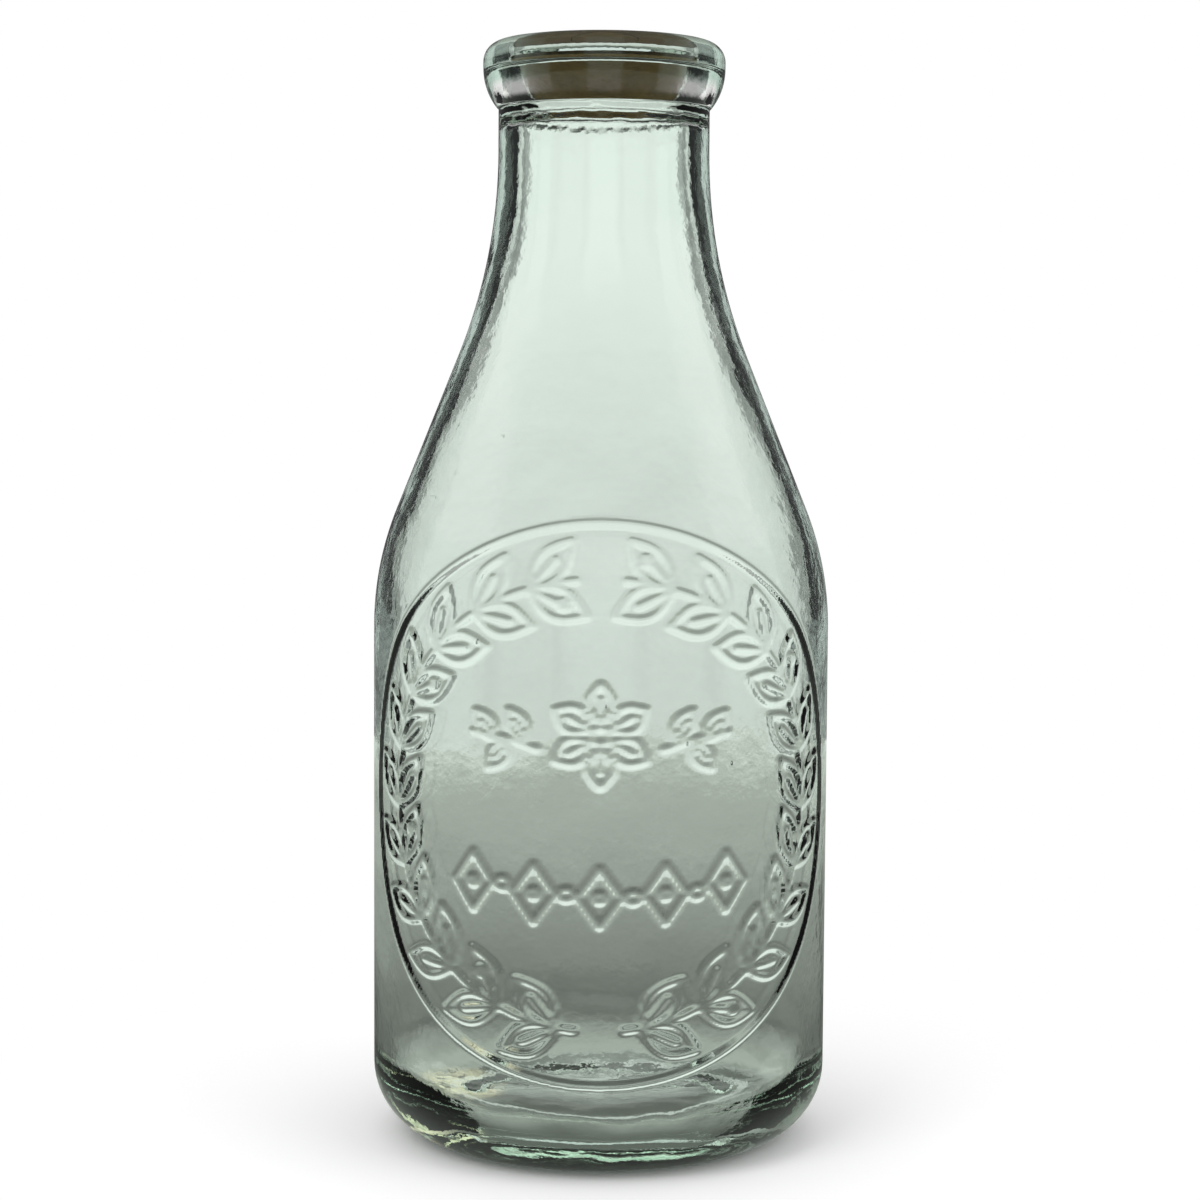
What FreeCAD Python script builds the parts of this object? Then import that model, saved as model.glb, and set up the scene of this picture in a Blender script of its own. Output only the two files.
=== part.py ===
import FreeCAD, Part
import math
import os

import Sketcher

# A returnable milk bottle of clear blown glass, closed by a waxed cardboard wad with a lift tab.
# Millimetres, +Z up. The origin is the middle of the standing ring, and the plate ring faces -Y.

os.makedirs("parts", exist_ok=True)
doc = FreeCAD.newDocument("MilkBottle")

# Driving dimensions: name, value and what it measures
driving_sizes = [
    ("body_diameter", 102, "straight side of the body"),
    ("total_height", 244.3, "standing ring to rim"),
    ("heel_radius", 16.3, "round between base and side"),
    ("standing_ring_width", 3, "flat ring that the bottle stands on"),
    ("push_up", 3, "height of the hollow under the base"),
    ("push_up_bevel", 6, "width of the slope round that hollow"),
    ("shoulder_radius", 71.1, "round of the shoulder"),
    ("shoulder_slope", 21.85, "straight slope above it, in degrees from upright"),
    ("neck_sweep_radius", 120.7, "hollow sweep from slope to neck"),
    ("neck_length", 9.5, "straight neck under the collar"),
    ("parting_step", 0.3, "overhang of the collar at its parting line"),
    ("collar_length", 8.7, "parting line up to the widest part of the lip"),
    ("lip_land", 1.4, "upright band at the widest part"),
    ("rim_flat", 0.7, "flat on top of the rim"),
    ("rim_lead_in", 0.9, "slope from the rim into the wad's seat"),
    ("lip_wall", 6, "glass outside the wad's seat"),
    ("seat_depth", 5.7, "rim down to the ledge that carries the wad"),
    ("ledge_width", 1.85, "that ledge, from seat to throat"),
    ("neck_wall", 4.45, "glass thickness of the neck"),
    ("body_wall", 3.4, "glass thickness of the side"),
    ("inner_heel_radius", 13, "round between side and floor, inside"),
    ("floor_height", 8, "floor above the standing ring"),
    ("plate_wrap", 71.3, "plate ring, reach to each side in degrees round the body"),
    ("plate_half_height", 59, "plate ring, half its height"),
    ("plate_lift", 5.8, "heel up to the bottom of the plate ring"),
    ("plate_line_width", 2, "raised line of the plate ring"),
    ("plate_relief", 0.7, "how far that line stands out"),
    ("wad_diameter", 41.3, "cardboard disc"),
    ("wad_clearance", 0.2, "gap all round between disc and seat"),
    ("lower_ply", 0.7, "thickness of the sealing ply"),
    ("upper_ply", 0.7, "thickness of the ply that the tab is cut from"),
    ("tab_width", 14, "tab across"),
    ("tab_crease", 3.5, "crease from the middle of the disc"),
    ("tab_margin", 3.15, "end of the tab to the edge of the disc"),
    ("tab_clearance", 0.15, "width of the cut round the tab"),
]
sizes = doc.addObject("Spreadsheet::Sheet", "Sizes")
for row, (alias, value, note) in enumerate(driving_sizes, start=1):
    sizes.set(f"A{row}", alias)
    sizes.set(f"B{row}", str(value))
    sizes.set(f"C{row}", note)
    sizes.setAlias(f"B{row}", alias)
doc.recompute()


def size(alias):
    return float(sizes.get(alias))


def new_body(label):
    body = doc.addObject("PartDesign::Body", label)
    body.Label = label
    return body


def new_sketch(body, name, plane_role):
    sketch = body.newObject("Sketcher::SketchObject", name)
    plane = [feature for feature in body.Origin.OriginFeatures if feature.Role == plane_role][0]
    sketch.AttachmentSupport = [(plane, "")]
    sketch.MapMode = "FlatFace"
    return sketch


class Outline:
    """Draws a sketch piece by piece, each with a start and a finish, and binds its sizes to the sheet."""

    origin = (-1, 1)
    level_axis = (-1,)
    upright_axis = (-2,)

    def __init__(self, sketch):
        self.sketch = sketch

    def line(self, start, finish):
        segment = Part.LineSegment(FreeCAD.Vector(*start), FreeCAD.Vector(*finish))
        index = self.sketch.addGeometry(segment, False)
        return {"index": index, "start": (index, 1), "finish": (index, 2)}

    def arc(self, centre, start, finish, clockwise=False):
        angles = [math.atan2(point[1] - centre[1], point[0] - centre[0]) for point in (start, finish)]
        if clockwise:
            angles.reverse()
        if angles[1] <= angles[0]:
            angles[1] += 2 * math.pi
        circle = Part.Circle(FreeCAD.Vector(*centre), FreeCAD.Vector(0, 0, 1), math.dist(centre, start))
        index = self.sketch.addGeometry(Part.ArcOfCircle(circle, *angles), False)
        ends = [(index, 1), (index, 2)]
        if clockwise:
            ends.reverse()
        return {"index": index, "start": ends[0], "finish": ends[1], "centre": (index, 3)}

    def circle(self, centre, radius):
        whole = Part.Circle(FreeCAD.Vector(*centre), FreeCAD.Vector(0, 0, 1), radius)
        index = self.sketch.addGeometry(whole, False)
        return {"index": index, "centre": (index, 3)}

    def hold(self, kind, *references):
        flat = []
        for reference in references:
            flat.extend(reference if isinstance(reference, tuple) else [reference])
        return self.sketch.addConstraint(Sketcher.Constraint(kind, *flat))

    def level(self, *lines):
        for line in lines:
            self.hold("Horizontal", line["index"])

    def upright(self, *lines):
        for line in lines:
            self.hold("Vertical", line["index"])

    def meet(self, *run):
        for first, second in zip(run, run[1:]):
            self.hold("Coincident", first["finish"], second["start"])

    def flow(self, *run):
        for first, second in zip(run, run[1:]):
            self.hold("Tangent", first["finish"], second["start"])

    def on_axis(self, *points):
        for point in points:
            self.hold("PointOnObject", point, self.upright_axis)

    def measure(self, kind, name, expression, value, *references):
        index = self.hold(kind, *references, value)
        self.sketch.renameConstraint(index, name)
        self.sketch.setExpression(f"Constraints.{name}", expression)

    def across(self, name, expression, value, point):
        self.measure("DistanceX", name, expression, value, self.origin, point)

    def up(self, name, expression, value, point):
        self.measure("DistanceY", name, expression, value, self.origin, point)

    def tall(self, name, expression, value, piece):
        self.measure("DistanceY", name, expression, value, piece["start"], piece["finish"])

    def radius(self, name, expression, value, arc):
        self.measure("Radius", name, expression, value, arc["index"])

    def tilt(self, name, expression, degrees, line):
        self.measure("Angle", name, expression, math.radians(degrees), line["index"])

    def read_height(self, name, value, point):
        """A height that follows from the rest of the outline, for other sketches to read."""
        index = self.hold("DistanceY", self.origin, point, value)
        self.sketch.setDriving(index, False)
        self.sketch.renameConstraint(index, name)


def revolve(body, kind, name, sketch):
    feature = body.newObject(kind, name)
    feature.Profile = sketch
    feature.ReferenceAxis = (sketch, ["V_Axis"])
    feature.Angle = 360
    return feature


body_radius = size("body_diameter") / 2
inner_radius = body_radius - size("body_wall")
wad_radius = size("wad_diameter") / 2
seat_radius = wad_radius + size("wad_clearance")
throat_radius = seat_radius - size("ledge_width")
neck_radius = throat_radius + size("neck_wall")
lip_radius = seat_radius + size("lip_wall")
lip_round = size("lip_wall") - size("rim_flat") - size("rim_lead_in")
relief = size("plate_relief")

# Heights, from the rim down and from the base up
rim = size("total_height")
ledge = rim - size("seat_depth")
lip_top = rim - lip_round
widest = lip_top - size("lip_land")
collar = widest - size("collar_length")
neck_start = collar - size("neck_length")
heel = size("heel_radius")
floor_top = size("floor_height")

# The slope faces this way, between the round of the shoulder and the hollow sweep of the neck
slope_angle = math.radians(size("shoulder_slope"))
slope_facing = (math.cos(slope_angle), math.sin(slope_angle))
rounds = size("shoulder_radius") + size("neck_sweep_radius")
slope_run = (body_radius - neck_radius - rounds * (1 - slope_facing[0])) / slope_facing[1]
shoulder_start = neck_start - rounds * slope_facing[1] - slope_run * slope_facing[0]
shoulder_centre = (body_radius - size("shoulder_radius"), shoulder_start)
sweep_centre = (neck_radius + size("neck_sweep_radius"), neck_start)


def slope_point(centre, radius):
    """Where the slope leaves the round of that centre and radius, negative for a hollow one."""
    return tuple(middle + radius * facing for middle, facing in zip(centre, slope_facing))


# Glass bottle, outside: base, side, shoulder, neck and lip turned about Z as a solid blank
bottle = new_body("glass_bottle")
outside = new_sketch(bottle, "OutsideProfile", "XZ_Plane")
draw = Outline(outside)

ring_outer = body_radius - heel
ring_inner = ring_outer - size("standing_ring_width")
panel_radius = ring_inner - size("push_up_bevel")
panel_height = size("push_up")
collar_radius = neck_radius + size("parting_step")
collar_reach = lip_radius - collar_radius
collar_round = (size("collar_length") ** 2 + collar_reach**2) / (2 * collar_reach)
rim_edge = lip_radius - lip_round
leave = slope_point(shoulder_centre, size("shoulder_radius"))
enter = slope_point(sweep_centre, -size("neck_sweep_radius"))

base_panel = draw.line((0, panel_height), (panel_radius, panel_height))
base_bevel = draw.line((panel_radius, panel_height), (ring_inner, 0))
standing = draw.line((ring_inner, 0), (ring_outer, 0))
heel_arc = draw.arc((ring_outer, heel), (ring_outer, 0), (body_radius, heel))
side = draw.line((body_radius, heel), (body_radius, shoulder_start))
shoulder = draw.arc(shoulder_centre, (body_radius, shoulder_start), leave)
slope = draw.line(leave, enter)
sweep = draw.arc(sweep_centre, enter, (neck_radius, neck_start), clockwise=True)
neck = draw.line((neck_radius, neck_start), (neck_radius, collar))
parting = draw.line((neck_radius, collar), (collar_radius, collar))
collar_arc = draw.arc((lip_radius - collar_round, widest), (collar_radius, collar), (lip_radius, widest))
land = draw.line((lip_radius, widest), (lip_radius, lip_top))
lip_arc = draw.arc((rim_edge, lip_top), (lip_radius, lip_top), (rim_edge, rim))
rim_line = draw.line((rim_edge, rim), (0, rim))
axis_line = draw.line((0, rim), (0, panel_height))

seat_term = "Sizes.wad_diameter / 2 + Sizes.wad_clearance"
throat_term = seat_term + " - Sizes.ledge_width"
neck_term = throat_term + " + Sizes.neck_wall"
ring_term = "Sizes.body_diameter / 2 - Sizes.heel_radius - Sizes.standing_ring_width"
draw.level(base_panel, standing, parting, rim_line)
draw.upright(side, neck, land)
draw.meet(axis_line, base_panel, base_bevel, standing)
draw.flow(standing, heel_arc, side, shoulder, slope, sweep, neck)
draw.meet(neck, parting, collar_arc)
draw.flow(collar_arc, land, lip_arc, rim_line)
draw.meet(rim_line, axis_line)
draw.on_axis(base_panel["start"], rim_line["finish"])
draw.hold("PointOnObject", standing["start"], draw.level_axis)
draw.across("body", "Sizes.body_diameter / 2", body_radius, side["start"])
draw.across("neck", neck_term, neck_radius, neck["start"])
draw.across("overhang", neck_term + " + Sizes.parting_step", collar_radius, parting["finish"])
draw.across("lip", seat_term + " + Sizes.lip_wall", lip_radius, land["start"])
draw.across("ring", ring_term, ring_inner, standing["start"])
draw.across("panel", ring_term + " - Sizes.push_up_bevel", panel_radius, base_panel["finish"])
draw.up("panel_height", "Sizes.push_up", panel_height, base_panel["start"])
draw.up("rim", "Sizes.total_height", rim, rim_line["start"])
draw.tall("neck_length", "Sizes.neck_length", size("neck_length"), neck)
draw.tall("collar_length", "Sizes.collar_length", size("collar_length"), collar_arc)
draw.tall("land", "Sizes.lip_land", size("lip_land"), land)
draw.tilt("slope", "90 + Sizes.shoulder_slope", 90 + size("shoulder_slope"), slope)
draw.radius("heel_round", "Sizes.heel_radius", heel, heel_arc)
draw.radius("shoulder_round", "Sizes.shoulder_radius", size("shoulder_radius"), shoulder)
draw.radius("sweep_round", "Sizes.neck_sweep_radius", size("neck_sweep_radius"), sweep)
draw.radius("lip_round", "Sizes.lip_wall - Sizes.rim_flat - Sizes.rim_lead_in", lip_round, lip_arc)
draw.read_height("shoulder_start", shoulder_start, side["finish"])
blank = revolve(bottle, "PartDesign::Revolution", "TurnedBlank", outside)
doc.recompute()
blank_volume = blank.Shape.Volume

# Plate ring: an oval line on the unrolled side, wrapped round the body and pressed out along the mould's -Y
plate_points = 24
plate = new_sketch(bottle, "PlateRingLine", "XZ_Plane")
plate_middle = heel + size("plate_lift") + size("plate_half_height")
for edge in (1, -1):
    half_line = edge * size("plate_line_width") / 2
    wrap = math.radians(size("plate_wrap")) + half_line / body_radius
    oval = []
    for step in range(plate_points):
        turn = 2 * math.pi * step / plate_points
        across = body_radius * math.sin(wrap * math.cos(turn))
        height = plate_middle + (size("plate_half_height") + half_line) * math.sin(turn)
        oval.append(FreeCAD.Vector(across, height, 0))
    wrapped = Part.BSplineCurve()
    wrapped.interpolate(Points=oval, PeriodicFlag=True)
    Outline(plate).hold("Block", plate.addGeometry(wrapped, False))
pressed = bottle.newObject("PartDesign::Pad", "PlateRingPad")
pressed.Profile = plate
pressed.setExpression("Length", "Sizes.body_diameter / 2 + 2 * Sizes.plate_relief")
doc.recompute()
pressed_volume = pressed.Shape.Volume

# The line is trimmed to one height above the side, the shoulder and its slope
trim = new_sketch(bottle, "PlateRingTrim", "XZ_Plane")
draw = Outline(trim)

trim_side_radius = body_radius + relief
trim_neck_radius = neck_radius + relief
trim_reach = size("body_diameter")
trim_leave = slope_point(shoulder_centre, size("shoulder_radius") + relief)
trim_enter = slope_point(sweep_centre, relief - size("neck_sweep_radius"))

trim_side = draw.line((trim_side_radius, heel), (trim_side_radius, shoulder_start))
trim_shoulder = draw.arc(shoulder_centre, (trim_side_radius, shoulder_start), trim_leave)
trim_slope = draw.line(trim_leave, trim_enter)
trim_sweep = draw.arc(sweep_centre, trim_enter, (trim_neck_radius, neck_start), clockwise=True)
trim_top = draw.line((trim_neck_radius, neck_start), (trim_reach, neck_start))
trim_outer = draw.line((trim_reach, neck_start), (trim_reach, heel))
trim_bottom = draw.line((trim_reach, heel), (trim_side_radius, heel))

draw.level(trim_top, trim_bottom)
draw.upright(trim_side, trim_outer)
draw.flow(trim_side, trim_shoulder, trim_slope, trim_sweep)
draw.meet(trim_sweep, trim_top, trim_outer, trim_bottom, trim_side)
draw.hold("Horizontal", trim_sweep["centre"], trim_sweep["finish"])
draw.across("side", "Sizes.body_diameter / 2 + Sizes.plate_relief", trim_side_radius, trim_side["start"])
draw.across("neck", neck_term + " + Sizes.plate_relief", trim_neck_radius, trim_sweep["finish"])
draw.across("reach", "Sizes.body_diameter", trim_reach, trim_outer["start"])
draw.up("heel", "Sizes.heel_radius", heel, trim_side["start"])
draw.up("shoulder", "OutsideProfile.Constraints.shoulder_start", shoulder_start, trim_side["finish"])
draw.tilt("slope", "90 + Sizes.shoulder_slope", 90 + size("shoulder_slope"), trim_slope)
draw.radius(
    "shoulder_round",
    "Sizes.shoulder_radius + Sizes.plate_relief",
    size("shoulder_radius") + relief,
    trim_shoulder,
)
draw.radius(
    "sweep_round",
    "Sizes.neck_sweep_radius - Sizes.plate_relief",
    size("neck_sweep_radius") - relief,
    trim_sweep,
)
trimmed = revolve(bottle, "PartDesign::Groove", "PlateRingTrimmed", trim)
doc.recompute()
trimmed_volume = trimmed.Shape.Volume

# Glass bottle, inside: wad seat, throat, wall and floor bored out of the blank
inside = new_sketch(bottle, "InsideProfile", "XZ_Plane")
draw = Outline(inside)

mouth_radius = seat_radius + size("rim_lead_in")
lead_in_end = rim - size("rim_lead_in")
inner_heel = size("inner_heel_radius")
floor_radius = inner_radius - inner_heel
wall_bottom = floor_top + inner_heel
inner_leave = slope_point(shoulder_centre, size("shoulder_radius") - size("body_wall"))
inner_sweep_radius = size("neck_sweep_radius") + size("neck_wall")
level_part = (sweep_centre[0] - inner_leave[0]) * slope_facing[0]
throat_end = inner_leave[1] + (inner_sweep_radius - level_part) / slope_facing[1]
inner_sweep_centre = (sweep_centre[0], throat_end)
inner_enter = slope_point(inner_sweep_centre, -inner_sweep_radius)

mouth = draw.line((0, rim), (mouth_radius, rim))
lead_in = draw.line((mouth_radius, rim), (seat_radius, lead_in_end))
seat_wall = draw.line((seat_radius, lead_in_end), (seat_radius, ledge))
ledge_line = draw.line((seat_radius, ledge), (throat_radius, ledge))
throat = draw.line((throat_radius, ledge), (throat_radius, throat_end))
inner_sweep = draw.arc(inner_sweep_centre, (throat_radius, throat_end), inner_enter)
inner_slope = draw.line(inner_enter, inner_leave)
inner_shoulder = draw.arc(shoulder_centre, inner_leave, (inner_radius, shoulder_start), clockwise=True)
inner_side = draw.line((inner_radius, shoulder_start), (inner_radius, wall_bottom))
inner_heel_arc = draw.arc(
    (floor_radius, wall_bottom), (inner_radius, wall_bottom), (floor_radius, floor_top), clockwise=True
)
floor = draw.line((floor_radius, floor_top), (0, floor_top))
core_line = draw.line((0, floor_top), (0, rim))

draw.level(mouth, ledge_line, floor)
draw.upright(seat_wall, throat, inner_side)
draw.meet(mouth, lead_in, seat_wall, ledge_line, throat)
draw.flow(throat, inner_sweep, inner_slope, inner_shoulder, inner_side, inner_heel_arc, floor)
draw.meet(floor, core_line, mouth)
draw.on_axis(mouth["start"], floor["finish"])
draw.across("mouth", seat_term + " + Sizes.rim_lead_in", mouth_radius, mouth["finish"])
draw.across("seat", seat_term, seat_radius, seat_wall["finish"])
draw.across("throat", throat_term, throat_radius, throat["start"])
draw.across("wall", "Sizes.body_diameter / 2 - Sizes.body_wall", inner_radius, inner_side["start"])
draw.up("rim", "Sizes.total_height", rim, mouth["start"])
draw.up("ledge", "Sizes.total_height - Sizes.seat_depth", ledge, seat_wall["finish"])
draw.up("shoulder", "OutsideProfile.Constraints.shoulder_start", shoulder_start, inner_side["start"])
draw.up("floor", "Sizes.floor_height", floor_top, floor["start"])
draw.up("lead_in_end", "Sizes.total_height - Sizes.rim_lead_in", lead_in_end, lead_in["finish"])
draw.tilt("slope", "Sizes.shoulder_slope - 90", size("shoulder_slope") - 90, inner_slope)
draw.radius("sweep_round", "Sizes.neck_sweep_radius + Sizes.neck_wall", inner_sweep_radius, inner_sweep)
draw.radius(
    "shoulder_round",
    "Sizes.shoulder_radius - Sizes.body_wall",
    size("shoulder_radius") - size("body_wall"),
    inner_shoulder,
)
draw.radius("inner_heel_round", "Sizes.inner_heel_radius", inner_heel, inner_heel_arc)
bored = revolve(bottle, "PartDesign::Groove", "Bored", inside)
doc.recompute()


def tongue(sketch, clearance_term, clearance):
    """The lift tab: straight at the crease, round at the free end, widened by the cut round it."""
    tab = Outline(sketch)
    half_width = size("tab_width") / 2 + clearance
    crease = -size("tab_crease")
    round_start = size("tab_margin") + size("tab_width") / 2 - wad_radius
    crease_line = tab.line((half_width, crease), (-half_width, crease))
    left = tab.line((-half_width, crease), (-half_width, round_start))
    end = tab.arc((0, round_start), (-half_width, round_start), (half_width, round_start))
    right = tab.line((half_width, round_start), (half_width, crease))
    tab.level(crease_line)
    tab.upright(left, right)
    tab.meet(right, crease_line, left)
    tab.flow(left, end, right)
    tab.on_axis(end["centre"])
    tab.measure("DistanceY", "crease", "Sizes.tab_crease", -crease, crease_line["start"], tab.origin)
    tab.measure(
        "DistanceY",
        "reach",
        "Sizes.wad_diameter / 2 - Sizes.tab_margin - Sizes.tab_width / 2",
        -round_start,
        end["centre"],
        tab.origin,
    )
    tab.radius("end_round", "Sizes.tab_width / 2" + clearance_term, half_width, end)


def disc(sketch):
    outline = Outline(sketch)
    edge = outline.circle((0, 0), wad_radius)
    outline.hold("Coincident", edge["centre"], outline.origin)
    outline.radius("edge", "Sizes.wad_diameter / 2", wad_radius, edge)


def ply(body, name, sketch, thickness):
    feature = body.newObject("PartDesign::Pad", name)
    feature.Profile = sketch
    feature.setExpression("Length", thickness)


# Cardboard wad: a lower ply that seals and an upper ply that the tab is cut from
wad = new_body("cardboard_wad")
wad.setExpression("Placement.Base.z", "Sizes.total_height - Sizes.seat_depth")
lower_line = new_sketch(wad, "LowerPlyOutline", "XY_Plane")
disc(lower_line)
ply(wad, "LowerPly", lower_line, "Sizes.lower_ply")
doc.recompute()
upper_line = new_sketch(wad, "UpperPlyOutline", "XY_Plane")
upper_line.setExpression("AttachmentOffset.Base.z", "Sizes.lower_ply")
disc(upper_line)
tongue(upper_line, " + Sizes.tab_clearance", size("tab_clearance"))
ply(wad, "UpperPly", upper_line, "Sizes.upper_ply")

# Lift tab: the tongue itself, lying in its cut and folding up on its crease
lift_tab = new_body("lift_tab")
lift_tab.setExpression("Placement.Base.z", "Sizes.total_height - Sizes.seat_depth + Sizes.lower_ply")
tab_line = new_sketch(lift_tab, "TabOutline", "XY_Plane")
tongue(tab_line, "", 0)
ply(lift_tab, "TabPly", tab_line, "Sizes.upper_ply")
doc.recompute()

# Checks, then one file for each sub-part
if not blank_volume < trimmed_volume < pressed_volume:
    raise RuntimeError("the plate ring wasn't pressed out and trimmed")
if not bored.Shape.Volume < trimmed_volume / 2:
    raise RuntimeError("the bottle isn't bored out")
for item in doc.Objects:
    if "Invalid" in item.State or "Error" in item.State:
        raise RuntimeError(f"{item.Label} failed: {item.State}")
for node in (bottle, wad, lift_tab):
    if node.Shape.isNull() or not node.Shape.isValid():
        raise RuntimeError(f"{node.Label} has no valid shape")
    node.Shape.exportStep(f"parts/{node.Label}.step")
    print(f"{node.Label}: {len(node.Shape.Solids)} solid, {node.Shape.Volume / 1000:.3f} ml")
print(f"cavity to the rim: {(trimmed_volume - bored.Shape.Volume) / 1000:.0f} ml")
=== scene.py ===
import bpy
import math
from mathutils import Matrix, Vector, noise
from mathutils.kdtree import KDTree


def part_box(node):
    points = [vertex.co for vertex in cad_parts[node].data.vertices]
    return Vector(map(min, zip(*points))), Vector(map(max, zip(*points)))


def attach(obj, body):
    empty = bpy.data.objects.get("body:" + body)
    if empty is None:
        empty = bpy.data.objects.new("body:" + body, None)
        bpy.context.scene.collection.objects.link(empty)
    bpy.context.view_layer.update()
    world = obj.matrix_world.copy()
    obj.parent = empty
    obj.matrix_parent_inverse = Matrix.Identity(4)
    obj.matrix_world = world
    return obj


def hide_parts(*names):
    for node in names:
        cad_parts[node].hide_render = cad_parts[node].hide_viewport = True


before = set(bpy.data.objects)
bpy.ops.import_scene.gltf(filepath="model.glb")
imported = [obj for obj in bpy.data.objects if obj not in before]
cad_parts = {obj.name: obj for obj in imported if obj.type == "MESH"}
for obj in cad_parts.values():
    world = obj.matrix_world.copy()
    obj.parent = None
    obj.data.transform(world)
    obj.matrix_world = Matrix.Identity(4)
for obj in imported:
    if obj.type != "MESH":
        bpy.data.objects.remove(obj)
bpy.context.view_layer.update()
mm = 0.001  # sizes in the dictionaries below are millimetres
near = 0.01 * mm  # points closer than this are taken as one
print("frame loaded:", ", ".join(sorted(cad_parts)))


class Wire:
    # one output socket, with sums written as Python
    def __init__(self, bench, socket):
        self.bench = bench
        self.socket = socket

    def maths(self, operation, first, second=0.0):
        settings = {"operation": operation}
        return self.bench.add("ShaderNodeMath", settings, {0: first, 1: second})

    def output(self, name):
        return Wire(self.bench, self.socket.node.outputs[name])

    def __add__(self, other):
        return self.maths("ADD", self, other)

    def __radd__(self, other):
        return self.maths("ADD", other, self)

    def __sub__(self, other):
        return self.maths("SUBTRACT", self, other)

    def __rsub__(self, other):
        return self.maths("SUBTRACT", other, self)

    def __mul__(self, other):
        return self.maths("MULTIPLY", self, other)

    def __rmul__(self, other):
        return self.maths("MULTIPLY", other, self)


class Bench:
    def __init__(self, tree):
        self.tree = tree
        tree.nodes.clear()

    # a node's settings are set first, then the values or links of its sockets
    def add(self, kind, settings=None, sockets=None):
        node = self.tree.nodes.new(kind)
        for name, value in (settings or {}).items():
            if name == "stops":
                ramp = node.color_ramp.elements
                while len(ramp) < len(value):
                    ramp.new(0.5)
                for stop, (place, colour) in zip(ramp, value):
                    stop.position = place
                    stop.color = (*colour, 1)
            else:
                setattr(node, name, value)
        for name, value in (sockets or {}).items():
            if isinstance(value, Wire):
                self.tree.links.new(value.socket, node.inputs[name])
            else:
                node.inputs[name].default_value = value
        return Wire(self, node.outputs[0]) if node.outputs else node

    # 0 below low, 1 above high, with soft ends
    def ease(self, value, low, high):
        settings = {"interpolation_type": "SMOOTHSTEP"}
        sockets = {"Value": value, "From Min": low, "From Max": high}
        return self.add("ShaderNodeMapRange", settings, sockets)

    # sockets 6, 7 and output 2 are a Mix node's colours
    def blendColours(self, share, first, second):
        settings = {"data_type": "RGBA"}
        return self.add("ShaderNodeMix", settings, {0: share, 6: first, 7: second}).output(2)

    def apart(self, place, spot):
        settings = {"operation": "DISTANCE"}
        return self.add("ShaderNodeVectorMath", settings, {0: place, 1: spot}).output("Value")

    def height(self, place):
        return self.add("ShaderNodeSeparateXYZ", None, {"Vector": place}).output("Z")

    # depth is in millimetres
    def bump(self, height, strength, depth):
        sockets = {"Strength": strength, "Distance": depth * mm, "Height": height}
        return self.add("ShaderNodeBump", None, sockets)

    # size is in millimetres
    def noise(self, place, size, detail=3.0, roughness=0.5):
        sockets = {
            "Vector": place, "Scale": 1 / (size * mm), "Detail": detail, "Roughness": roughness,
        }
        return self.add("ShaderNodeTexNoise", None, sockets)


def newMaterial(name):
    material = bpy.data.materials.new(name)
    material.use_nodes = True
    return material, Bench(material.node_tree)


def clearSelection():
    bpy.ops.object.select_all(action="DESELECT")


def editMode(on):
    bpy.ops.object.mode_set(mode="EDIT" if on else "OBJECT")


# Selects vertices or faces of the active mesh by a test on each of them
def pick(kind, test):
    editMode(True)
    bpy.ops.mesh.select_mode(type={"vertices": "VERT", "polygons": "FACE"}[kind])
    bpy.ops.mesh.select_all(action="DESELECT")
    editMode(False)
    for item in getattr(bpy.context.object.data, kind):
        item.select = bool(test(item))
    editMode(True)


def applyModifier(piece, name, kind, **settings):
    modifier = piece.modifiers.new(name, kind)
    for key, value in settings.items():
        setattr(modifier, key, value)
    bpy.context.view_layer.objects.active = piece
    bpy.ops.object.modifier_apply(modifier=modifier.name)


# Draws a wall's profile in the XZ plane from one vertex, by extruding it and spinning it
class ProfilePen:
    def __init__(self, name, start):
        clearSelection()
        bpy.ops.mesh.primitive_plane_add(size=mm)
        self.piece = bpy.context.object
        self.piece.name = name
        self.here = start
        editMode(True)
        bpy.ops.mesh.select_all(action="SELECT")
        bpy.ops.mesh.merge(type="CENTER")
        bpy.ops.transform.translate(value=(start[0] * mm, 0, start[1] * mm))

    def line(self, there, rows):
        across, up = there[0] - self.here[0], there[1] - self.here[1]
        step = (across * mm / rows, 0, up * mm / rows)
        for row in range(rows):
            bpy.ops.mesh.extrude_vertices_move(TRANSFORM_OT_translate={"value": step})
        self.here = there

    # turn is in degrees, anticlockwise with X to the right and Z up
    def round(self, centre, turn, rows):
        angle = math.radians(turn)
        middle = (centre[0] * mm, 0, centre[1] * mm)
        bpy.ops.mesh.spin(steps=rows, angle=angle, center=middle, axis=(0, 1, 0))
        x, z = self.here[0] - centre[0], self.here[1] - centre[1]
        self.here = (
            centre[0] + x * math.cos(angle) - z * math.sin(angle),
            centre[1] + x * math.sin(angle) + z * math.cos(angle),
        )

    def soften(self, corner, size, segments):
        spot = Vector((corner[0] * mm, 0, corner[1] * mm))
        pick("vertices", lambda vertex: (vertex.co - spot).length < near)
        bpy.ops.mesh.bevel(offset=size * mm, segments=segments, affect="VERTICES")


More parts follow.
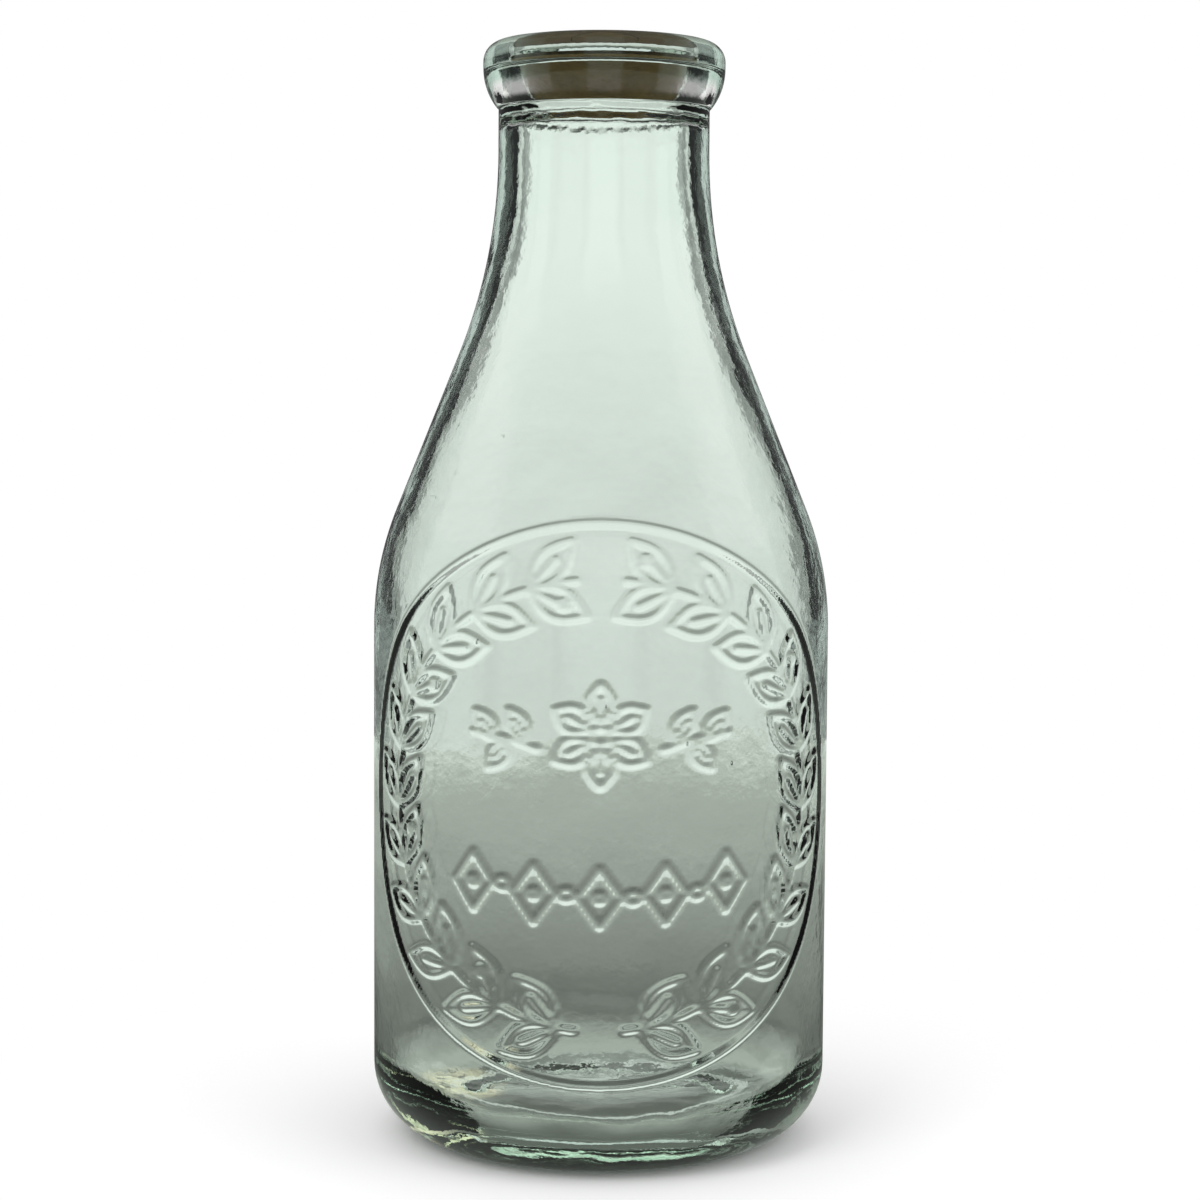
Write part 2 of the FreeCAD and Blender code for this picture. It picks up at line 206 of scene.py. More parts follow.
# Glass bottle: the wall is one closed profile, spun with fine columns in front, coarser behind
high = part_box("glass_bottle")[1]
bottle = {
    "bodyRadius": high.x / mm,
    "height": high.z / mm,
    "heelRadius": 16.3,
    "ringWidth": 3,
    "pushUp": 3,
    "pushUpBevel": 6,
    "shoulderRadius": 71.1,
    "shoulderSlope": 21.85,
    "sweepRadius": 120.7,
    "neckLength": 9.5,
    "neckRadius": 23.45,
    "partingStep": 0.3,
    "collarLength": 8.7,
    "lipLand": 1.4,
    "lipRadius": 26.85,
    "lipRound": 4.4,
    "rimLeadIn": 0.9,
    "seatRadius": 20.85,
    "seatDepth": 5.7,
    "throatRadius": 19,
    "bodyWall": 3.4,
    "innerHeelRadius": 13,
    "floorHeight": 8,
    "panelSoft": 2,
    "ringSoft": 1,
    "partingSoft": 0.12,
    "mouthSoft": 0.35,
    "leadInSoft": 0.4,
    "seatSoft": 0.3,
    "ledgeSoft": 0.7,
    "frontColumns": 114,
    "backColumns": 54,
    "weld": 0.002,
}
bodyRadius = bottle["bodyRadius"]
slope = math.radians(bottle["shoulderSlope"])
facing = (math.cos(slope), math.sin(slope))
lipTop = bottle["height"] - bottle["lipRound"]
widest = lipTop - bottle["lipLand"]
parting = widest - bottle["collarLength"]
neckStart = parting - bottle["neckLength"]
rounds = bottle["shoulderRadius"] + bottle["sweepRadius"]
slopeRun = (bodyRadius - bottle["neckRadius"] - rounds * (1 - facing[0])) / facing[1]
shoulderStart = neckStart - rounds * facing[1] - slopeRun * facing[0]
shoulderCentre = (bodyRadius - bottle["shoulderRadius"], shoulderStart)
sweepCentre = (bottle["neckRadius"] + bottle["sweepRadius"], neckStart)
ringOuter = bodyRadius - bottle["heelRadius"]
ringInner = ringOuter - bottle["ringWidth"]
panelRadius = ringInner - bottle["pushUpBevel"]
ledge = bottle["height"] - bottle["seatDepth"]


def slopePoint(centre, radius):
    return (centre[0] + radius * facing[0], centre[1] + radius * facing[1])


# outside, from the middle of the base up to the rim; the last number is the rows of faces
pen = ProfilePen("glassBottle", (0, bottle["pushUp"]))
pen.line((panelRadius, bottle["pushUp"]), 5)
pen.line((ringInner, 0), 3)
pen.line((ringOuter, 0), 2)
pen.round((ringOuter, bottle["heelRadius"]), 90, 14)
pen.line((bodyRadius, shoulderStart), 61)
pen.round(shoulderCentre, bottle["shoulderSlope"], 17)
pen.line(slopePoint(sweepCentre, -bottle["sweepRadius"]), 12)
pen.round(sweepCentre, -bottle["shoulderSlope"], 18)
pen.line((bottle["neckRadius"], parting), 5)
collarFoot = bottle["neckRadius"] + bottle["partingStep"]
collarReach = bottle["lipRadius"] - collarFoot
collarRound = (bottle["collarLength"] ** 2 + collarReach**2) / (2 * collarReach)
pen.line((collarFoot, parting), 1)
collarTurn = math.degrees(math.asin(bottle["collarLength"] / collarRound))
pen.round((bottle["lipRadius"] - collarRound, widest), collarTurn, 12)
pen.line((bottle["lipRadius"], lipTop), 2)
pen.round((bottle["lipRadius"] - bottle["lipRound"], lipTop), 90, 14)

# inside, from the rim down to the middle of the floor
mouthEdge = (bottle["seatRadius"] + bottle["rimLeadIn"], bottle["height"])
leadInEnd = (bottle["seatRadius"], bottle["height"] - bottle["rimLeadIn"])
seatCorner = (bottle["seatRadius"], ledge)
ledgeEdge = (bottle["throatRadius"], ledge)
innerRadius = bodyRadius - bottle["bodyWall"]
innerSweepRadius = sweepCentre[0] - bottle["throatRadius"]
innerLeave = slopePoint(shoulderCentre, bottle["shoulderRadius"] - bottle["bodyWall"])
innerReach = (sweepCentre[0] - innerLeave[0]) * facing[0]
throatEnd = innerLeave[1] + (innerSweepRadius - innerReach) / facing[1]
pen.line(mouthEdge, 1)
pen.line(leadInEnd, 1)
pen.line(seatCorner, 4)
pen.line(ledgeEdge, 2)
pen.line((bottle["throatRadius"], throatEnd), 28)
pen.round((sweepCentre[0], throatEnd), bottle["shoulderSlope"], 24)
pen.line(innerLeave, 12)
pen.round(shoulderCentre, -bottle["shoulderSlope"], 10)
innerHeel = bottle["floorHeight"] + bottle["innerHeelRadius"]
pen.line((innerRadius, innerHeel), 32)
pen.round((innerRadius - bottle["innerHeelRadius"], innerHeel), -90, 14)
pen.line((0, bottle["floorHeight"]), 14)
pen.soften((panelRadius, bottle["pushUp"]), bottle["panelSoft"], 4)
pen.soften((ringInner, 0), bottle["ringSoft"], 4)
pen.soften((bottle["neckRadius"], parting), bottle["partingSoft"], 2)
pen.soften((collarFoot, parting), bottle["partingSoft"], 2)
pen.soften(mouthEdge, bottle["mouthSoft"], 3)
pen.soften(leadInEnd, bottle["leadInSoft"], 3)
pen.soften(seatCorner, bottle["seatSoft"], 3)
pen.soften(ledgeEdge, bottle["ledgeSoft"], 4)

glassBottle = pen.piece
bpy.ops.mesh.select_all(action="SELECT")
for columns in (bottle["frontColumns"], bottle["backColumns"]):
    bpy.ops.mesh.spin(steps=columns, angle=math.pi, center=(0, 0, 0), axis=(0, 0, -1))
bpy.ops.mesh.select_all(action="SELECT")
bpy.ops.mesh.remove_doubles(threshold=bottle["weld"] * mm)
bpy.ops.mesh.normals_make_consistent(inside=False)
editMode(False)
bpy.ops.object.shade_smooth()
print("bottle spun:", len(glassBottle.data.polygons), "faces")

# Raised work on the plate, drawn flat as lines: s runs round the body, z up from its middle
plate = {
    "middle": 81.1,
    "halfWidth": math.radians(71.3) * bodyRadius,
    "halfHeight": 59,
    "lowest": 12,
    "highest": 150,
    "ringRelief": 0.52,
    "relief": 0.42,
    "crown": 0.35,
    "ringFoot": 1.15,
    "foot": 1.15,
    "finer": (2.0, 1.45),
    "step": 0.25,
    "bandInset": 11.6,
    "branchEnd": 84,
    "leafPairs": 11,
    "leafLength": 13.5,
    "leafWidth": 6.2,
    "leafTilt": 36,
    "veinShare": 0.62,
    "berryReach": 4.6,
    "berryRadius": 0.9,
    "rosetteHeight": 15,
    "petals": 6,
    "petalStart": 2.6,
    "petalLength": 8.2,
    "petalWidth": 5.2,
    "budRadius": 1.7,
    "sprigStem": ((13.5, -3), (19, -1.2), (28, 0)),
    "sprigLeaves": ((15.5, 58), (19.5, -52), (22.5, 50)),
    "sprigDrop": 1.4,
    "sprigLeafLength": 7.6,
    "sprigLeafWidth": 3.8,
    "rowHeight": -19,
    "rowCurve": 0.003,
    "lozengeStep": 14,
    "lozengeHalfWidth": 4.6,
    "lozengeHalfHeight": 6.2,
    "eyeHalfWidth": 0.7,
    "eyeHalfHeight": 0.9,
    "beadRadius": 1.2,
}


def runLine(points):
    dots = []
    for (s0, z0), (s1, z1) in zip(points, points[1:]):
        count = max(1, round(math.hypot(s1 - s0, z1 - z0) / plate["step"]))
        for i in range(count + 1):
            dots.append((s0 + (s1 - s0) * i / count, z0 + (z1 - z0) * i / count))
    return dots


def ovalLine(middle, halfWidth, halfHeight):
    points = []
    for degrees in range(0, 361, 3):
        turn = math.radians(degrees)
        s, z = halfWidth * math.cos(turn), halfHeight * math.sin(turn)
        points.append((middle[0] + s, middle[1] + z))
    return runLine(points)


# two bowed edges and a vein, from the stalk along heading
def leafLine(stalk, heading, length, width):
    dots = []
    for side in (1, -1, 0):
        edge = []
        for i in range(13):
            along = i / 12 * (1 if side else plate["veinShare"])
            out = side * width / 2 * math.sin(math.pi * along)
            s = length * along * math.cos(heading) - out * math.sin(heading)
            z = length * along * math.sin(heading) + out * math.cos(heading)
            edge.append((stalk[0] + s, stalk[1] + z))
        dots += runLine(edge)
    return dots


def lozengeLine(middle, halfWidth, halfHeight):
    s, z = middle
    right, left = (s + halfWidth, z), (s - halfWidth, z)
    return runLine([right, (s, z + halfHeight), left, (s, z - halfHeight), right])


ringDots = ovalLine((0, 0), plate["halfWidth"], plate["halfHeight"])
workDots = []
bandWidth = plate["halfWidth"] - plate["bandInset"]
bandHeight = plate["halfHeight"] - plate["bandInset"]
stemSteps = plate["leafPairs"] * 4
for branch in (1, -1):  # a wreath of two branches, open below and above
    stem = []
    for i in range(stemSteps + 1):
        turn = math.radians(-plate["branchEnd"] + 2 * plate["branchEnd"] * i / stemSteps)
        stem.append((branch * bandWidth * math.cos(turn), bandHeight * math.sin(turn)))
    workDots += runLine(stem)
    for i in range(plate["leafPairs"]):
        (s0, z0), (s1, z1) = stem[4 * i + 1], stem[4 * i + 3]
        heading = math.atan2(z1 - z0, s1 - s0)
        for tilt in (plate["leafTilt"], -plate["leafTilt"]):
            angle = heading + math.radians(tilt)
            workDots += leafLine((s0, z0), angle, plate["leafLength"], plate["leafWidth"])
        if i % 3 == 1:  # every third pair has a berry
            reach = plate["berryReach"]
            berry = (s1 + reach * math.sin(heading), z1 - reach * math.cos(heading))
            workDots += ovalLine(berry, plate["berryRadius"], plate["berryRadius"])
level = plate["rosetteHeight"]
for i in range(plate["petals"]):  # a rosette with a sprig at each side
    turn = math.radians(360 / plate["petals"] * (i + 0.5))
    start = (plate["petalStart"] * math.cos(turn), level + plate["petalStart"] * math.sin(turn))
    workDots += leafLine(start, turn, plate["petalLength"], plate["petalWidth"])
workDots += ovalLine((0, level), plate["budRadius"], plate["budRadius"])
for side in (1, -1):
    workDots += runLine([(side * s, level + rise) for s, rise in plate["sprigStem"]])
    for s, tilt in plate["sprigLeaves"]:
        angle = math.radians(tilt) if side > 0 else math.pi - math.radians(tilt)
        stalk = (side * s, level - plate["sprigDrop"])
        workDots += leafLine(stalk, angle, plate["sprigLeafLength"], plate["sprigLeafWidth"])
for i in range(-2, 3):  # lozenges with beads between
    s = plate["lozengeStep"] * i
    z = plate["rowHeight"] + plate["rowCurve"] * s**2
    workDots += lozengeLine((s, z), plate["lozengeHalfWidth"], plate["lozengeHalfHeight"])
    workDots += ovalLine((s, z), plate["eyeHalfWidth"], plate["eyeHalfHeight"])
    if i < 2:
        bead = (s + plate["lozengeStep"] / 2, z)
        workDots += ovalLine(bead, plate["beadRadius"], plate["beadRadius"])


def dotTree(dots):
    tree = KDTree(len(dots))
    for i, (s, z) in enumerate(dots):
        tree.insert((s, z, 0), i)
    tree.balance()
    return tree


ringTree, workTree = dotTree(ringDots), dotTree(workDots)


def platePlace(co):
    return Vector((bodyRadius * math.atan2(co.x, -co.y), co.z / mm - plate["middle"], 0))


def onFront(vertex):
    away = vertex.co.x * vertex.normal.x + vertex.co.y * vertex.normal.y
    return vertex.co.y < 0 and away > 0 and plate["lowest"] < vertex.co.z / mm < plate["highest"]


def nearWork(reach):
    close = set()
    for vertex in glassBottle.data.vertices:
        if onFront(vertex):
            place = platePlace(vertex.co)
            if min(ringTree.find(place)[2], workTree.find(place)[2]) < reach:
                close.add(vertex.index)
    return close


# the faces under a raised line get smaller ones, twice
for reach in plate["finer"]:
    close = nearWork(reach)
    pick("polygons", lambda face: any(i in close for i in face.vertices))
    bpy.ops.mesh.subdivide(number_cuts=1, ngon=False)
    editMode(False)


# full height along the line, falling away over a short flank
def flank(distance, crown, foot):
    share = min(1, max(0, (foot - distance) / (foot - crown)))
    return share * share * (3 - 2 * share)


def raiseLine(group, tree, foot):
    for vertex in glassBottle.data.vertices:
        if onFront(vertex):
            share = flank(tree.find(platePlace(vertex.co))[2], plate["crown"], foot)
            if share > 0:
                group.add([vertex.index], share, "REPLACE")


raisedLines = (
    ("raisedRing", ringTree, plate["ringRelief"], plate["ringFoot"]),
    ("raisedWork", workTree, plate["relief"], plate["foot"]),
)
for name, tree, relief, foot in raisedLines:
    raiseLine(glassBottle.vertex_groups.new(name=name), tree, foot)
for name, tree, relief, foot in raisedLines:
    settings = {"strength": relief * mm, "mid_level": 0, "vertex_group": name}
    applyModifier(glassBottle, name, "DISPLACE", **settings)
print("plate raised:", len(glassBottle.data.polygons), "faces")

# Blown glass is uneven inside: slow waves in the wall, and a floor that isn't flat
wave = {
    "wallDepth": 0.55,
    "wallSize": 26,
    "wallFoot": 20,
    "wallHead": 15,
    "floorDepth": 1.1,
    "floorSize": 15,
    "floorLow": 4,
    "floorHigh": 24,
    "floorFade": 12,
    "floorFacing": -0.2,
    "floorMargin": 0.5,
    "swirlDepth": 0.32,
    "swirlSize": 4,
    "settleDepth": 1.2,
    "settleHeight": 228,
    "settleHalf": 2.6,
    "settleRagged": 0.7,
    "settleGrain": 1.1,
    "settleInside": 22,
}
innerWall = glassBottle.vertex_groups.new(name="innerWall")
innerFloor = glassBottle.vertex_groups.new(name="innerFloor")
settleWave = glassBottle.vertex_groups.new(name="settleWave")
floorHigh = wave["floorHigh"]
for vertex in glassBottle.data.vertices:
    radius = math.hypot(vertex.co.x, vertex.co.y) / mm
    height = vertex.co.z / mm
    inward = vertex.co.x * vertex.normal.x + vertex.co.y * vertex.normal.y < 0
    if inward and floorHigh < height < throatEnd:
        fromFoot = (height - floorHigh) / wave["wallFoot"]
        fromHead = (throatEnd - height) / wave["wallHead"]
        innerWall.add([vertex.index], min(1, fromFoot, fromHead), "REPLACE")
    inside = radius < innerRadius + wave["floorMargin"]
    upward = vertex.normal.z > wave["floorFacing"]
    if inside and upward and wave["floorLow"] < height <= floorHigh:
        innerFloor.add([vertex.index], min(1, (floorHigh - height) / wave["floorFade"]), "REPLACE")
    # ragged ring under the ledge, where the glass settled in the neck
    waver = noise.noise(vertex.co / (wave["settleGrain"] * mm))
    ragged = wave["settleHeight"] + wave["settleRagged"] * waver
    away = abs(height - ragged) / wave["settleHalf"]
    if inward and away < 1 and radius < wave["settleInside"]:
        settleWave.add([vertex.index], 0.5 + 0.5 * math.cos(math.pi * away), "REPLACE")
for group, name, depth in (
    ("innerWall", "wall", 1), ("innerFloor", "floor", 1), ("innerFloor", "swirl", 3),
):
    texture = bpy.data.textures.new(name, "CLOUDS")
    texture.noise_scale = wave[name + "Size"] * mm
    texture.noise_depth = depth
    settings = {"texture": texture, "strength": wave[name + "Depth"] * mm, "vertex_group": group}
    applyModifier(glassBottle, name, "DISPLACE", **settings)
settings = {"strength": wave["settleDepth"] * mm, "mid_level": 0, "vertex_group": "settleWave"}
applyModifier(glassBottle, "settle", "DISPLACE", **settings)

# Seeds: small bubbles caught in the wall, faces turned into them
seeds = {
    "count": 16,
    "smallest": 0.16,
    "largest": 0.4,
    "lowest": 26,
    "highest": 168,
    "stretch": 1.7,
    "heightStart": 0.21,
    "heightStep": 0.618,
    "turnStart": 0.5,
    "turnStep": 2.4,
    "sizeStep": 0.37,
    "shoulderEase": 6,
}


def wallMiddle(height):
    radius = bodyRadius
    if height > shoulderStart:
        above = max(0, height - shoulderStart - seeds["shoulderEase"])
        radius -= above * facing[1] / facing[0]
    return radius - bottle["bodyWall"] / 2


for i in range(seeds["count"]):
    share = (i * seeds["heightStep"] + seeds["heightStart"]) % 1
    height = seeds["lowest"] + (seeds["highest"] - seeds["lowest"]) * share
    turn = seeds["turnStep"] * i + seeds["turnStart"]
    reach = wallMiddle(height) * mm
    share = ((i * seeds["sizeStep"]) % 1) ** 2
    size = seeds["smallest"] + (seeds["largest"] - seeds["smallest"]) * share
    clearSelection()
    bpy.ops.mesh.primitive_ico_sphere_add(
        subdivisions=2, radius=size * mm,
        location=(reach * math.cos(turn), reach * math.sin(turn), height * mm),
    )
    seed = bpy.context.object
    seed.scale.z = seeds["stretch"]
    bpy.ops.object.transform_apply(location=True, rotation=True, scale=True)
    editMode(True)
    bpy.ops.mesh.select_all(action="SELECT")
    bpy.ops.mesh.flip_normals()
    editMode(False)
    bpy.ops.object.shade_smooth()
    glassBottle.select_set(True)
    bpy.context.view_layer.objects.active = glassBottle
    bpy.ops.object.join()

glass = {
    "bending": 1.51,
    "tint": (0.25, 0.81, 0.38, 1),
    "tintDensity": 8,
    "rippleSize": 1.7,
    "rippleDepth": 0.024,
    "bulgeSize": 6,
    "bulgeShare": 2.5,
    "polish": 0.003,
    "scuffSize": 1.8,
    "scuffCut": (0.55, 0.72),
    "scuffBand": (3, 14),
    "scuffRoughness": 0.08,
}


def bottleGlass():
    material, bench = newMaterial("bottleGlass")
    place = bench.add("ShaderNodeTexCoord").output("Object")
    bulges = bench.noise(place, glass["bulgeSize"], 1) * glass["bulgeShare"]
    ripple = bench.noise(place, glass["rippleSize"], 2) + bulges
    scuff = bench.ease(bench.noise(place, glass["scuffSize"], 4), *glass["scuffCut"])
    bottom, top = glass["scuffBand"]
    heelBand = 1 - bench.ease(bench.height(place), bottom * mm, top * mm)
    surface = bench.add("ShaderNodeBsdfPrincipled", None, {
        "Base Color": (1, 1, 1, 1),
        "Roughness": glass["polish"] + scuff * heelBand * glass["scuffRoughness"],
        "IOR": glass["bending"],
        "Transmission Weight": 1,
        "Normal": bench.bump(ripple, 1, glass["rippleDepth"]),
    })
    body = bench.add("ShaderNodeVolumeAbsorption", None, {
        "Color": glass["tint"], "Density": glass["tintDensity"],
    })
    bench.add("ShaderNodeOutputMaterial", None, {"Surface": surface, "Volume": body})
    return material


glassBottle.data.materials.clear()
glassBottle.data.materials.append(bottleGlass())
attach(glassBottle, "bottle")
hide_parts("glass_bottle")
triangles = sum(len(face.vertices) - 2 for face in glassBottle.data.polygons)
print("glass finished:", triangles, "triangles")

# Cardboard wad and its lift tab
low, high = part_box("cardboard_wad")
wad = {
    "radius": high.x / mm,
    "bottom": low.z / mm,
    "top": high.z / mm,
    "edgeRound": 0.22,
    "ply": 0.7,
    "tabHalfWidth": 7,
    "tabCrease": -3.5,
    "tabRoundStart": -10.5,
    "tabCut": 0.15,
    "tabEdgeRound": 0.12,
    "smoothAngle": 35,
}
plyTop = wad["bottom"] + wad["ply"]


# The tongue's outline, grown by spare, as a slab from bottom to top
def tongueSlab(name, spare, bottom, top):
    clearSelection()
    halfWidth = wad["tabHalfWidth"] + spare
    bpy.ops.mesh.primitive_circle_add(
        vertices=64, radius=halfWidth * mm, location=(0, wad["tabRoundStart"] * mm, bottom * mm)
    )
    slab = bpy.context.object
    slab.name = name
    bpy.ops.object.transform_apply(location=True, rotation=True, scale=True)
    pick("vertices", lambda vertex: vertex.co.y > wad["tabRoundStart"] * mm + near)
    bpy.ops.mesh.delete(type="VERT")
    editMode(False)
    pick("vertices", lambda vertex: abs(abs(vertex.co.x) - halfWidth * mm) < near)
    rise = (wad["tabCrease"] - wad["tabRoundStart"]) * mm
    bpy.ops.mesh.extrude_vertices_move(TRANSFORM_OT_translate={"value": (0, rise, 0)})
    bpy.ops.mesh.select_all(action="SELECT")
    bpy.ops.mesh.edge_face_add()
    bpy.ops.mesh.select_all(action="SELECT")
    thickness = (top - bottom) * mm
    bpy.ops.mesh.extrude_region_move(TRANSFORM_OT_translate={"value": (0, 0, thickness)})
    bpy.ops.mesh.select_all(action="SELECT")
    bpy.ops.mesh.normals_make_consistent(inside=False)
    editMode(False)
    return slab


def softEdges(piece, size, segments):
    settings = {"width": size * mm, "segments": segments, "limit_method": "ANGLE"}
    applyModifier(piece, "softEdge", "BEVEL", **settings)
    clearSelection()
    piece.select_set(True)
    bpy.ops.object.shade_smooth_by_angle(angle=math.radians(wad["smoothAngle"]))


clearSelection()
thickness = wad["top"] - wad["bottom"]
bpy.ops.mesh.primitive_cylinder_add(
    vertices=128, radius=wad["radius"] * mm, depth=thickness * mm,
    location=(0, 0, (wad["bottom"] + thickness / 2) * mm),
)
cardboardWad = bpy.context.object
cardboardWad.name = "cardboardWad"
bpy.ops.object.transform_apply(location=True, rotation=True, scale=True)
cutter = tongueSlab("tabCutter", wad["tabCut"], plyTop, wad["top"] + 1)  # 1 mm clear of the top
settings = {"operation": "DIFFERENCE", "object": cutter, "solver": "EXACT"}
applyModifier(cardboardWad, "tabWindow", "BOOLEAN", **settings)
bpy.data.objects.remove(cutter)
softEdges(cardboardWad, wad["edgeRound"], 3)
liftTab = tongueSlab("liftTab", 0, plyTop, wad["top"])
softEdges(liftTab, wad["tabEdgeRound"], 2)

board = {
    "bare": ((0.17, 0.108, 0.024, 1), (0.23, 0.148, 0.038, 1)),
    # painted shade: the darker colours of the upper ply and the tab stand in for shade on the top
    "waxed": ((0.038, 0.027, 0.008, 1), (0.056, 0.04, 0.013, 1)),
    "bareFibre": (0.30, 0.20, 0.07, 1),
    "waxedFibre": (0.085, 0.062, 0.024, 1),
    "fleck": (0.04, 0.025, 0.009, 1),
    "shadeLine": (0.6, 0.75),
    "grainSqueeze": (1, 5, 5),
    "fibreSize": 2.2,
    "fibreRoughness": 0.62,
    "fibreCut": (0.35, 0.7),
    "fibreShare": 0.55,
    "fibreStrength": 0.35,
    "fibreDepth": 0.1,
    "cloudSize": 7,
    "cloudCut": (0.3, 0.7),
    "fleckSize": 0.45,
    "fleckCut": (0.66, 0.78),
    "fleckShare": 0.5,
    "roughness": 0.72,
    "roughnessCut": (0.35, 0.65),
    "roughnessSpread": 0.18,
    "shine": 0.12,
}


def waxedBoard():
    material, bench = newMaterial("waxedBoard")
    place = bench.add("ShaderNodeTexCoord").output("Object")
    squeeze = {"Vector": place, "Scale": board["grainSqueeze"]}
    grain = bench.add("ShaderNodeMapping", None, squeeze)
    fibre = bench.noise(grain, board["fibreSize"], 6, board["fibreRoughness"])
    cloud = bench.noise(place, board["cloudSize"], 3)
    speck = bench.ease(bench.noise(place, board["fleckSize"], 2), *board["fleckCut"])
    # painted shade: from this line up, the upper ply and the tab are coloured darker to stand in
    # for less light on the top; the lower ply keeps the board's own colours
    bottom, top = [(wad["bottom"] + rise) * mm for rise in board["shadeLine"]]
    waxed = bench.ease(bench.height(place), bottom, top)
    clouded = bench.ease(cloud, *board["cloudCut"])
    bare = bench.blendColours(clouded, *board["bare"])
    dark = bench.blendColours(clouded, *board["waxed"])
    kraft = bench.blendColours(waxed, bare, dark)
    pale = bench.blendColours(waxed, board["bareFibre"], board["waxedFibre"])
    fibreShare = bench.ease(fibre, *board["fibreCut"]) * board["fibreShare"]
    fibred = bench.blendColours(fibreShare, kraft, pale)
    flecked = bench.blendColours(speck * board["fleckShare"], fibred, board["fleck"])
    worn = bench.ease(cloud, *board["roughnessCut"]) * board["roughnessSpread"]
    surface = bench.add("ShaderNodeBsdfPrincipled", None, {
        "Base Color": flecked,
        "Roughness": board["roughness"] + worn,
        "Specular IOR Level": board["shine"],
        "Normal": bench.bump(fibre, board["fibreStrength"], board["fibreDepth"]),
    })
    bench.add("ShaderNodeOutputMaterial", None, {"Surface": surface})
    return material


wadBoard = waxedBoard()
for piece, body, node in ((cardboardWad, "wad", "cardboard_wad"), (liftTab, "tab", "lift_tab")):
    piece.data.materials.clear()
    piece.data.materials.append(wadBoard)
    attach(piece, body)
    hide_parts(node)
print("wad and tab finished")

# Stage: pale floor, white surroundings, soft lamps and the camera
table = {
    "radius": 700,
    "colour": (0.95, 0.95, 0.95, 1),
    "whiteRange": (50, 160),
    "tint": (0.905, 1, 0.89),
    # painted light and shade of the table seen through glass: dark near the bottle, a bright ring,
    # lighter farther off
    "levels": (  # share of the radius, and how bright the table is there when seen through glass
        (0, 0.12), (0.056, 0.13), (0.072, 0.54), (0.10, 0.34), (0.125, 0.16), (0.18, 0.15),
        (0.32, 0.265), (0.557, 0.387), (0.74, 0.42), (0.871, 0.56), (1, 0.69),
    ),
    # painted light from the base on the table: a pool, a glint and a warm patch
    "pool": {"spot": (3, 27), "range": (8, 34), "share": 0.85, "colour": (0.36, 0.40, 0.36, 1)},
    "glint": {"spot": (33, -19), "range": (4, 11), "share": 0.8, "colour": (0.34, 0.38, 0.35, 1)},
    "patch": {"spot": (-34, 2), "range": (6, 15), "share": 0.95, "colour": (0.95, 0.93, 0.66, 1)},
    "patchSqueeze": (1, 0.5, 1),
    "streakSize": 7,
    "streakRoughness": 0.6,
    "streakCut": (0.36, 0.54),
}
clearSelection()
tableRadius = table["radius"] * mm
bpy.ops.mesh.primitive_circle_add(vertices=128, radius=tableRadius, fill_type="NGON")
floor = bpy.context.object
floor.name = "paleFloor"


# how much of a patch of light falls on a place: all of it at the spot, none beyond its range
def lightMark(bench, place, mark):
    x, y = mark["spot"]
    core, edge = mark["range"]
    away = bench.apart(place, (x * mm, y * mm, 0))
    return (1 - bench.ease(away, core * mm, edge * mm)) * mark["share"]


def floorMaterial():
    material, bench = newMaterial("paleFloor")
    place = bench.add("ShaderNodeTexCoord").output("Object")
    radius = bench.add("ShaderNodeVectorMath", {"operation": "LENGTH"}, {0: place}).output("Value")
    path = bench.add("ShaderNodeLightPath")
    through = path.output("Is Transmission Ray") + path.output("Is Glossy Ray")
    lit = bench.add("ShaderNodeBsdfDiffuse", None, {"Color": table["colour"]})
    white = bench.add("ShaderNodeEmission", None, {"Color": (1, 1, 1, 1), "Strength": 1})
    start, end = table["whiteRange"]
    share = bench.ease(radius, start * mm, end * mm) * path.output("Is Camera Ray")
    seen = bench.add("ShaderNodeMixShader", None, {0: share, 1: lit, 2: white})
    stops = [(at, [level * tone for tone in table["tint"]]) for at, level in table["levels"]]
    shade = bench.add("ShaderNodeValToRGB", {"stops": stops}, {"Fac": radius * (1 / tableRadius)})
    # light that the base throws on the table beneath it: a soft pool, a pale glint, a warm patch
    pool = lightMark(bench, place, table["pool"])
    glint = lightMark(bench, place, table["glint"])
    squeeze = {"Vector": place, "Scale": table["patchSqueeze"]}
    squeezed = bench.add("ShaderNodeMapping", None, squeeze)
    grain = bench.noise(place, table["streakSize"], 3, table["streakRoughness"])
    streaks = bench.ease(grain, *table["streakCut"])
    patch = lightMark(bench, squeezed, table["patch"]) * streaks
    pooled = bench.blendColours(pool, shade, table["pool"]["colour"])
    glinting = bench.blendColours(glint, pooled, table["glint"]["colour"])
    warmed = bench.blendColours(patch, glinting, table["patch"]["colour"])
    # painted light and shade: seen through glass, the table is this glowing emission, not lit by
    # the lamps
    beneath = bench.add("ShaderNodeEmission", None, {"Color": warmed, "Strength": 1})
    shown = bench.add("ShaderNodeMixShader", None, {0: through, 1: seen, 2: beneath})
    bench.add("ShaderNodeOutputMaterial", None, {"Surface": shown})
    return material


floor.data.materials.append(floorMaterial())

# what the glass shows of the room; pairs are heights or turns where a part begins and is full
room = {
    "tint": (0.905, 1, 0.927, 1),
    "edgeTint": (0.86, 1, 0.94, 1),
    "skyTint": (1, 0.92, 0.96, 1),
    "panels": 8,
    "panelCut": (-0.92, -0.6),
    "panelGap": 0.3,
    "windows": 4,
    "windowCut": (-0.1, 0.35),
    "windowLight": 0.8,
    "shadow": 0.02,
    "rising": (0.24, 0.4),
    "risingLight": 0.5,
    "sinking": (-0.13, -0.03),
    "sinkingLight": 0.4,
    "ceiling": (0.3, 0.5),
    "skylight": (0.5, 0.64),
    "ceilingDark": 0.97,
    "horizon": (-0.15, 0.06),
    "lowLight": 0.69,
    "horizonLight": 0.24,
    "mirrorLight": 0.13,
    "crossings": (2.4, 2.6),
}


